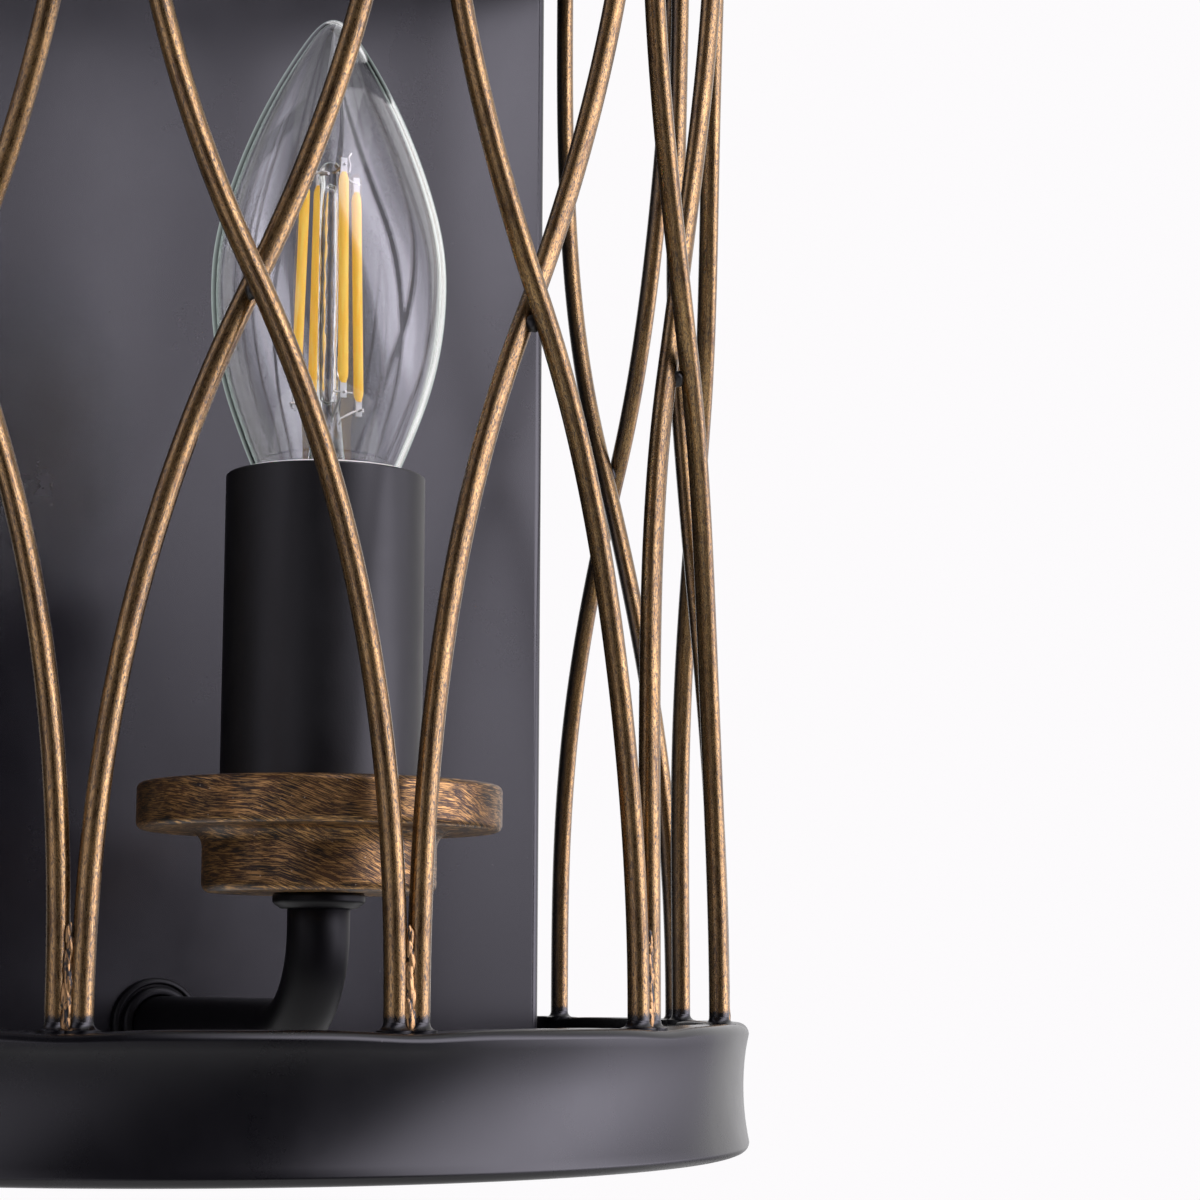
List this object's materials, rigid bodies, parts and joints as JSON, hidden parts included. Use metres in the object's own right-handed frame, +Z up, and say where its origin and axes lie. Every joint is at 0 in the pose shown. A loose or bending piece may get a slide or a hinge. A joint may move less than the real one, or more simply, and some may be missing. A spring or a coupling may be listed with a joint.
{
  "type": "wall lamp",
  "caption": "Wall lamp with a deep upright wall box, a candle lampholder on an elbowed arm, and a half-oval cage of crossing bowed rods between two rolled bands.",
  "frame": {"origin": "centre of the wall box's open back, on the wall plane and on the strap's back face", "axes": "+Z up, -Y out from the wall into the room, +X to the right of someone facing the lamp"},
  "size_m": [0.1892, 0.1451, 0.246],
  "materials": {
    "box_paint": "satin black paint",
    "strap_zinc": "bright zinc plate",
    "screw_black": "satin black",
    "block_plastic": "matt",
    "terminal_steel": "bright",
    "earth_washer_brass": "bright",
    "earth_screw_brass": "bright",
    "rosette_paint": "satin black paint",
    "washer_zinc": "bright zinc plate",
    "nut_zinc": "bright zinc plate",
    "arm_paint": "satin black paint",
    "collar_paint": "satin black paint",
    "pan_bronze": "brushed dark bronze lacquer",
    "tube_zinc": "zinc plate",
    "holder_plastic": "matt",
    "shell_nickel": "bright nickel",
    "contact_brass": "bright",
    "sleeve_black": "matt",
    "bulb_solder": "solder",
    "bulb_black_glass": "glossy",
    "bulb_cap_nickel": "bright nickel",
    "bulb_clear_glass": "clear",
    "bulb_stem_glass": "clear",
    "filament_phosphor": "matt phosphor coat",
    "filament_wire": "drawn",
    "lead_sleeve": "matt",
    "bottom_band_paint": "satin black paint",
    "top_band_paint": "satin black paint",
    "rod_right_1_bronze": "antique bronze rubbed over black",
    "rod_left_1_bronze": "antique bronze rubbed over black",
    "rod_right_2_bronze": "antique bronze rubbed over black",
    "rod_left_2_bronze": "antique bronze rubbed over black",
    "rod_right_3_bronze": "antique bronze rubbed over black",
    "rod_left_3_bronze": "antique bronze rubbed over black",
    "rod_right_4_bronze": "antique bronze rubbed over black",
    "rod_left_4_bronze": "antique bronze rubbed over black",
    "rod_right_5_bronze": "antique bronze rubbed over black",
    "rod_left_5_bronze": "antique bronze rubbed over black",
    "rod_right_6_bronze": "antique bronze rubbed over black",
    "rod_left_6_bronze": "antique bronze rubbed over black",
    "rod_right_7_bronze": "antique bronze rubbed over black",
    "rod_left_7_bronze": "antique bronze rubbed over black",
    "rod_right_8_bronze": "antique bronze rubbed over black",
    "rod_left_8_bronze": "antique bronze rubbed over black"
  },
  "bodies": {
    "lamp": {"wall_box": "box_paint", "wall_strap": "strap_zinc", "side_screws": "screw_black", "terminal_block": "block_plastic", "terminal_screws": "terminal_steel", "earth_washer": "earth_washer_brass", "earth_screw": "earth_screw_brass", "rosette": "rosette_paint", "arm_washer": "washer_zinc", "arm_nut": "nut_zinc", "arm": "arm_paint", "arm_collar": "collar_paint", "drip_pan": "pan_bronze", "threaded_tube": "tube_zinc", "lampholder": "holder_plastic", "screw_shell": "shell_nickel", "centre_contact": "contact_brass", "lamp_leads": "lead_sleeve", "bottom_band": "bottom_band_paint", "top_band": "top_band_paint", "rod_right_1": "rod_right_1_bronze", "rod_left_1": "rod_left_1_bronze", "rod_right_2": "rod_right_2_bronze", "rod_left_2": "rod_left_2_bronze", "rod_right_3": "rod_right_3_bronze", "rod_left_3": "rod_left_3_bronze", "rod_right_4": "rod_right_4_bronze", "rod_left_4": "rod_left_4_bronze", "rod_right_5": "rod_right_5_bronze", "rod_left_5": "rod_left_5_bronze", "rod_right_6": "rod_right_6_bronze", "rod_left_6": "rod_left_6_bronze", "rod_right_7": "rod_right_7_bronze", "rod_left_7": "rod_left_7_bronze", "rod_right_8": "rod_right_8_bronze", "rod_left_8": "rod_left_8_bronze"},
    "sleeve": {"candle_sleeve": "sleeve_black"},
    "bulb_foot": {"bulb_contact": "bulb_solder"},
    "bulb": {"bulb_insulator": "bulb_black_glass", "bulb_cap": "bulb_cap_nickel", "bulb_glass": "bulb_clear_glass", "bulb_stem": "bulb_stem_glass", "filaments": "filament_phosphor", "filament_leads": "filament_wire"}
  },
  "joints": [
    {"name": "sleeve_lift", "type": "slide", "parent": "lamp", "child": "sleeve", "axis": [0, 0, 1], "range_m": [0, 0.004]},
    {"name": "bulb_rise", "type": "slide", "parent": "lamp", "child": "bulb_foot", "axis": [0, 0, 1], "range_m": [0, 0.0099]},
    {"name": "bulb_unscrew", "type": "hinge", "parent": "bulb_foot", "child": "bulb", "pos_m": [0, -0.1085, 0], "axis": [0, 0, 1], "range_deg": [0, 1260]}
  ],
  "couplings": [
    {"joint": "bulb_rise", "follows": "bulb_unscrew", "m_per_rad": 0.0004491}
  ]
}
